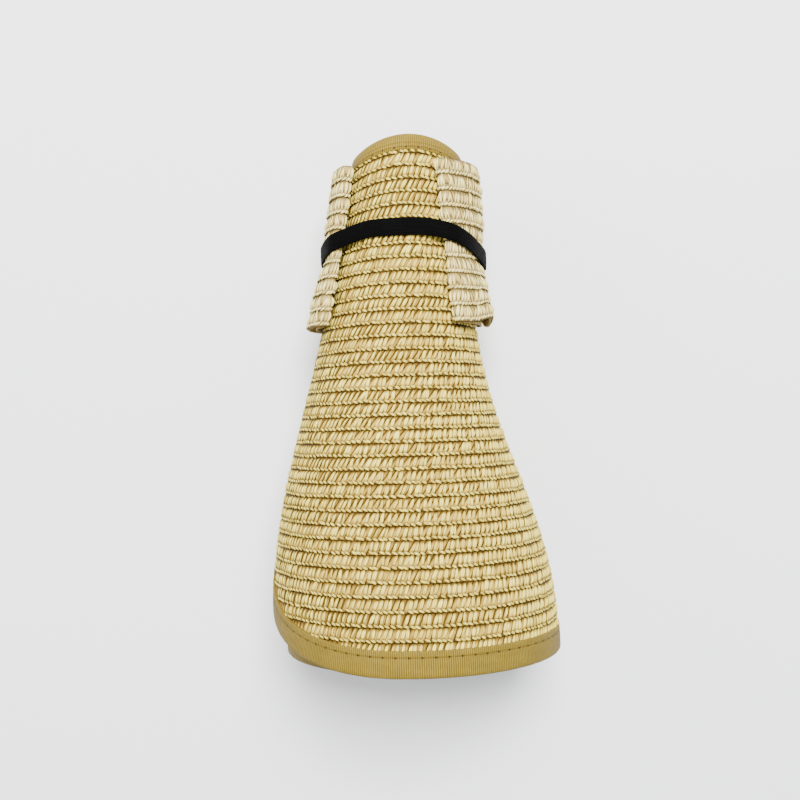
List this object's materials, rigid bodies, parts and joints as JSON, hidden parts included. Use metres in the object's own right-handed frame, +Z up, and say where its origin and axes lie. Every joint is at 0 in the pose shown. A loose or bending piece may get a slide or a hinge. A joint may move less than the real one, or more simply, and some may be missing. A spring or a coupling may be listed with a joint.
{
  "type": "sun visor",
  "caption": "Wide-brim braided straw sun visor with a bow, rolled into a cone for storage and held by a narrow elastic band.",
  "frame": {"origin": "on the surface that the roll lies on, under the middle of its box", "axes": "+Y along the roll towards its narrow head end, +X to the right seen from above, +Z up"},
  "size_m": [0.0865, 0.1576, 0.085],
  "materials": {
    "straw": "braided paper straw",
    "pale_straw": "braided paper straw, paler",
    "ribbon": "ribbed grosgrain",
    "thread": "sewing thread",
    "tab": "hook-and-loop tape",
    "elastic": "knitted elastic"
  },
  "bodies": {
    "roll": {"brim_sheet": "straw", "rim_binding": "ribbon", "head_binding": "ribbon", "rim_seam": "thread", "head_seam": "thread", "hook_tab": "tab", "loop_tab": "tab", "bow_left_loop": "pale_straw", "bow_right_loop": "pale_straw", "bow_knot": "pale_straw", "bow_tacks": "thread"},
    "band": {"elastic_band": "elastic", "elastic_bar_tack": "elastic"}
  },
  "joints": [
    {"name": "band_slide", "type": "slide", "parent": "roll", "child": "band", "axis": [0, 1, 0], "range_m": [0, 0.046]}
  ]
}
